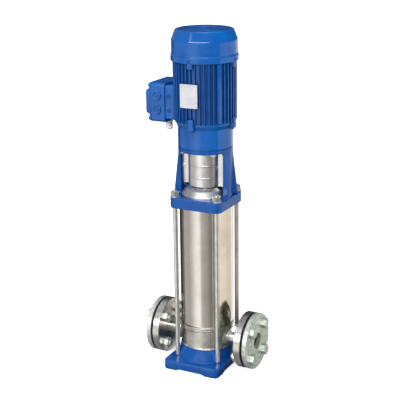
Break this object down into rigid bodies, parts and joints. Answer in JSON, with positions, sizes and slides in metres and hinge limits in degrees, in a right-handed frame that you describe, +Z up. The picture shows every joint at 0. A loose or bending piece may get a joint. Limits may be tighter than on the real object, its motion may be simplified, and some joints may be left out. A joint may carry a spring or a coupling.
{
  "type": "vertical multistage pump",
  "caption": "Vertical in-line multistage centrifugal pump: flanged cast base, stainless sleeve with tie rods, coupling lantern and flange-mounted electric motor.",
  "frame": {"origin": "middle of the base's underside, on the shaft's axis", "axes": "+Z up along the shaft, +X towards the discharge port, -X towards the suction port and the terminal box"},
  "size_m": [0.298, 0.199, 0.84],
  "materials": {
    "pump_enamel": "semi-gloss enamel on cast iron",
    "motor_enamel": "semi-gloss enamel on the motor's frame, shields and pressed cover",
    "polished_stainless": "polished stainless tube",
    "cast_stainless": "ground and blasted stainless",
    "pressed_stainless": "pressed bright stainless sheet",
    "ground_stainless": "drawn and ground stainless bar",
    "zinc_plated_steel": "zinc-plated steel",
    "shaft_steel": "turned and ground steel",
    "bearing_steel": "hardened and polished",
    "brass_fittings": "turned brass",
    "copper_windings": "varnished copper wire",
    "lamination_steel": "stacked electrical steel sheets",
    "seal_carbide": "lapped hard seal face",
    "black_rubber": "moulded rubber",
    "fan_plastic": "moulded glass-filled plastic",
    "board_plastic": "moulded phenolic board",
    "gland_plastic": "moulded light grey polyamide",
    "plate_aluminium": "satin aluminium sheet"
  },
  "bodies": {
    "pump": {"base": "pump_enamel", "pump_body": "cast_stainless", "drain_plug": "ground_stainless", "discharge_flange": "cast_stainless", "suction_flange": "cast_stainless", "flange_gaskets": "black_rubber", "discharge_counter_flange": "zinc_plated_steel", "suction_counter_flange": "zinc_plated_steel", "flange_bolts": "zinc_plated_steel", "flange_nuts": "zinc_plated_steel", "outer_sleeve": "polished_stainless", "sleeve_o_rings": "black_rubber", "tie_rods": "ground_stainless", "tie_rod_washers": "ground_stainless", "tie_rod_nuts": "ground_stainless", "head_plate": "cast_stainless", "seal_housing": "pressed_stainless", "vent_plug": "ground_stainless", "seal_seat": "seal_carbide", "lantern": "pump_enamel", "guard_front": "pressed_stainless", "guard_back": "pressed_stainless", "guard_screws": "ground_stainless", "suction_bowl": "pressed_stainless", "stage_bowls": "pressed_stainless", "neck_rings": "board_plastic", "discharge_bowl": "pressed_stainless", "guide_bushes": "seal_carbide", "drive_end_shield": "motor_enamel", "motor_flange_bolts": "zinc_plated_steel", "stator_housing": "motor_enamel", "stator_core": "lamination_steel", "stator_windings": "copper_windings", "fan_end_shield": "motor_enamel", "end_shield_screws": "motor_enamel", "fan_cover": "motor_enamel", "fan_cover_screws": "motor_enamel", "bearing_outer_rings": "bearing_steel", "terminal_box": "motor_enamel", "terminal_box_lid": "motor_enamel", "terminal_box_screws": "motor_enamel", "terminal_board": "board_plastic", "terminal_studs": "brass_fittings", "cable_gland": "gland_plastic", "entry_plugs": "motor_enamel", "nameplate": "plate_aluminium", "nameplate_rivets": "plate_aluminium"},
    "rotor": {"seal_face_ring": "seal_carbide", "seal_bellows": "black_rubber", "coupling_halves": "shaft_steel", "coupling_screws": "zinc_plated_steel", "impellers": "pressed_stainless", "pump_shaft": "ground_stainless", "shaft_sleeves": "ground_stainless", "shaft_nuts": "ground_stainless", "cooling_fan": "fan_plastic", "motor_shaft": "shaft_steel", "rotor_core": "lamination_steel", "bearing_inner_rings": "bearing_steel", "bearing_balls": "bearing_steel"}
  },
  "joints": [
    {"name": "rotor_spin", "type": "hinge", "parent": "pump", "child": "rotor", "pos_m": [0, 0, 0.5], "axis": [0, 0, 1], "continuous": true}
  ]
}
